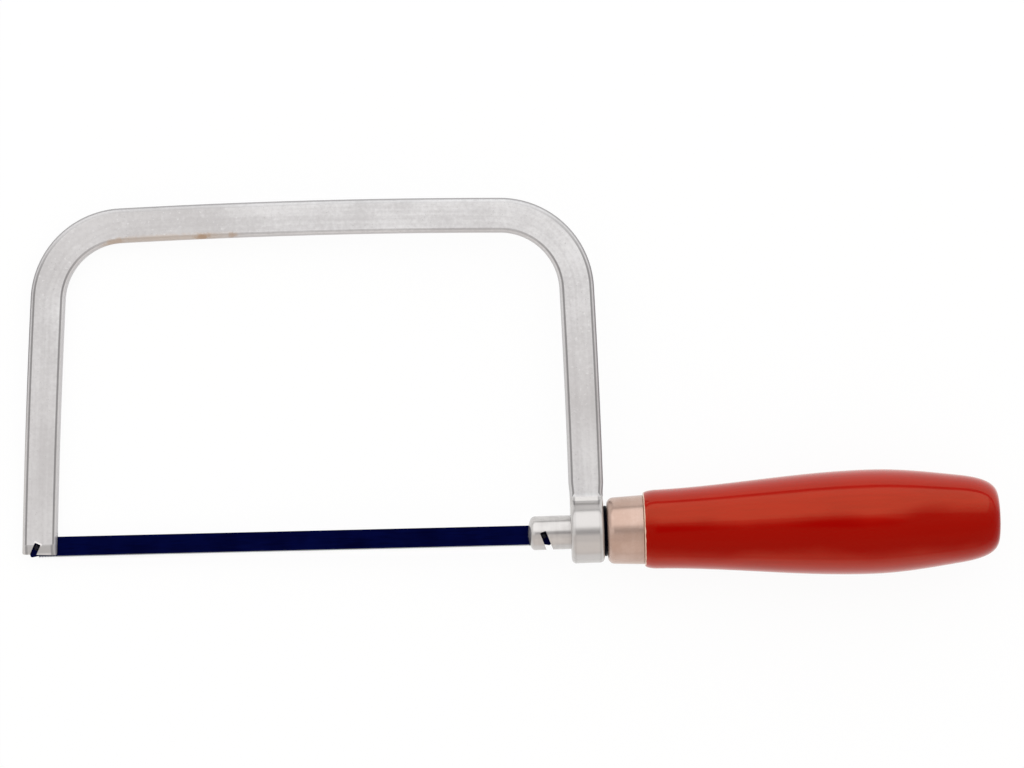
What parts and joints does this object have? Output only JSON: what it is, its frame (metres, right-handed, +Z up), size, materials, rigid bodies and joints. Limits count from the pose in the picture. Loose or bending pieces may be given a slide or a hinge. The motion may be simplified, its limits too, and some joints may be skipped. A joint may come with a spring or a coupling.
{
  "type": "mini hacksaw",
  "caption": "Small hacksaw with a bent steel bar frame, a pinned fine-tooth blade, a sliding blade holder and a turned red wooden handle that tensions the blade.",
  "frame": {"origin": "on the bench, below the middle of the saw's box", "axes": "+X along the saw towards the handle, +Y from the blade to the back of the frame, +Z up with the saw lying on its side on its front leg and the belly of the handle"},
  "size_m": [0.2802, 0.1128, 0.0305],
  "materials": {
    "frame_steel": "satin nickel-plated steel",
    "holder_steel": "satin turned steel",
    "blade_steel": "blue-black painted steel",
    "pin_steel": "blackened steel",
    "washer_black": "black oxide",
    "ferrule_metal": "satin plated steel with a warm tint",
    "nut_steel": "zinc plated",
    "handle_lacquer": "glossy red lacquer on turned wood"
  },
  "bodies": {
    "frame": {"frame": "frame_steel", "thrust_washer": "washer_black"},
    "handle": {"handle": "handle_lacquer", "ferrule": "ferrule_metal", "tension_nut": "nut_steel"},
    "holder": {"blade_holder": "holder_steel"},
    "blade": {"blade": "blade_steel", "blade_pin_front": "pin_steel", "blade_pin_rear": "pin_steel"}
  },
  "joints": [
    {"name": "handle_turn", "type": "hinge", "parent": "frame", "child": "handle", "pos_m": [0.02191, -0.04136, 0.01093], "axis": [0.9985, 0, 0.0546], "range_deg": [0, 2160]},
    {"name": "holder_slide", "type": "slide", "parent": "frame", "child": "holder", "axis": [-0.9985, 0, -0.0546], "range_m": [0, 0.006]},
    {"name": "blade_swing", "type": "hinge", "parent": "frame", "child": "blade", "pos_m": [-0.13584, -0.04043, 0.00231], "axis": [0.0546, 0, -0.9985], "range_deg": [0, 6.33]}
  ],
  "couplings": [
    {"joint": "holder_slide", "follows": "handle_turn", "m_per_rad": 0.00015915},
    {"joint": "blade_swing", "follows": "handle_turn", "ratio": 0.0029305}
  ]
}
